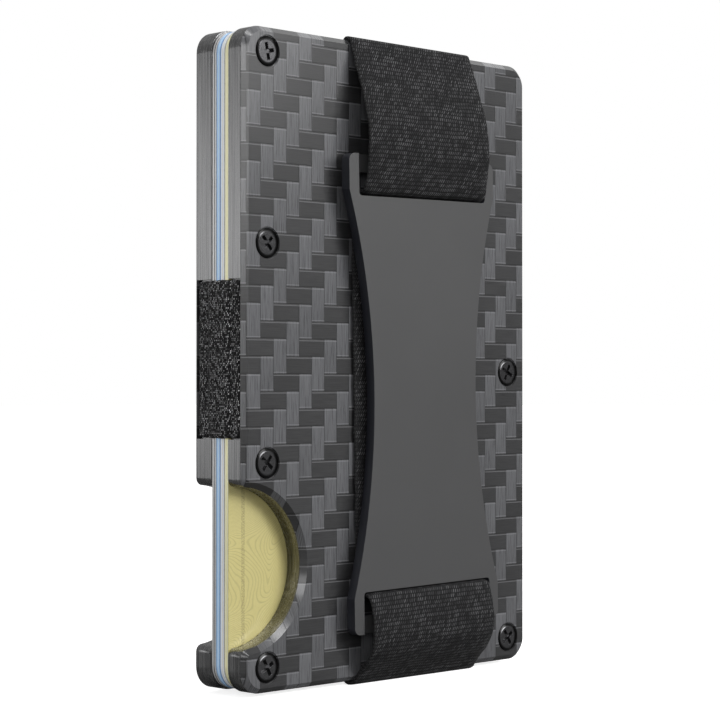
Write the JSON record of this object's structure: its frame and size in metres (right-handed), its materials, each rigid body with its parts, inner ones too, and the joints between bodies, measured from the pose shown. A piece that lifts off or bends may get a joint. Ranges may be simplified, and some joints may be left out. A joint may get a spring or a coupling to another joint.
{
  "type": "minimalist wallet",
  "caption": "Slim card wallet: two plates squeezed onto cards by an elastic band, with a clip plate on an elastic strap for notes.",
  "frame": {"origin": "centre of the back faceplate's outer face, which the wallet rests on when it lies flat", "axes": "+Z along the length towards the end the cards slide out of, +Y out of the back face, -X towards the side with the thumb notch"},
  "size_m": [0.0554, 0.0141, 0.0872],
  "materials": {
    "woven_face": "satin carbon-fibre twill",
    "gunmetal": "brushed gunmetal",
    "elastic_band": "black knitted elastic",
    "elastic_strap": "black woven elastic",
    "clip_paint": "matt dark grey",
    "black_screw": "black satin",
    "card_silver": "satin",
    "card_blue": "satin",
    "card_white": "satin",
    "card_gold": "satin metallic"
  },
  "bodies": {
    "front": {"front_faceplate": "woven_face", "front_inner_plate": "gunmetal", "card_band": "elastic_band", "cash_strap": "elastic_strap", "front_screw_1": "black_screw", "front_screw_2": "black_screw", "front_screw_3": "black_screw", "front_screw_4": "black_screw", "front_screw_5": "black_screw", "front_screw_6": "black_screw"},
    "back": {"back_inner_plate": "gunmetal", "back_faceplate": "woven_face", "back_screw_1": "black_screw", "back_screw_2": "black_screw", "back_screw_3": "black_screw", "back_screw_4": "black_screw", "back_screw_5": "black_screw", "back_screw_6": "black_screw"},
    "clip": {"clip_plate": "clip_paint"},
    "silver_card": {"card_silver": "card_silver"},
    "blue_card": {"card_blue": "card_blue"},
    "white_card": {"card_white": "card_white"},
    "gold_card": {"card_gold": "card_gold"}
  },
  "joints": [
    {"name": "plates_spread", "type": "slide", "parent": "front", "child": "back", "axis": [0, 1, 0], "range_m": [0, 0.006], "stiffness_N_per_m": 500, "springref_m": -0.01, "deforming": ["card_band"]},
    {"name": "clip_lift", "type": "slide", "parent": "front", "child": "clip", "axis": [0, -1, 0], "range_m": [0, 0.003], "stiffness_N_per_m": 400, "springref_m": -0.008, "deforming": ["cash_strap"]},
    {"name": "silver_card_slide", "type": "slide", "parent": "front", "child": "silver_card", "axis": [0, 0, 1], "range_m": [0, 0.06]},
    {"name": "blue_card_slide", "type": "slide", "parent": "front", "child": "blue_card", "axis": [0, 0, 1], "range_m": [0, 0.06]},
    {"name": "white_card_slide", "type": "slide", "parent": "front", "child": "white_card", "axis": [0, 0, 1], "range_m": [0, 0.06]},
    {"name": "gold_card_slide", "type": "slide", "parent": "front", "child": "gold_card", "axis": [0, 0, 1], "range_m": [0, 0.06]}
  ]
}
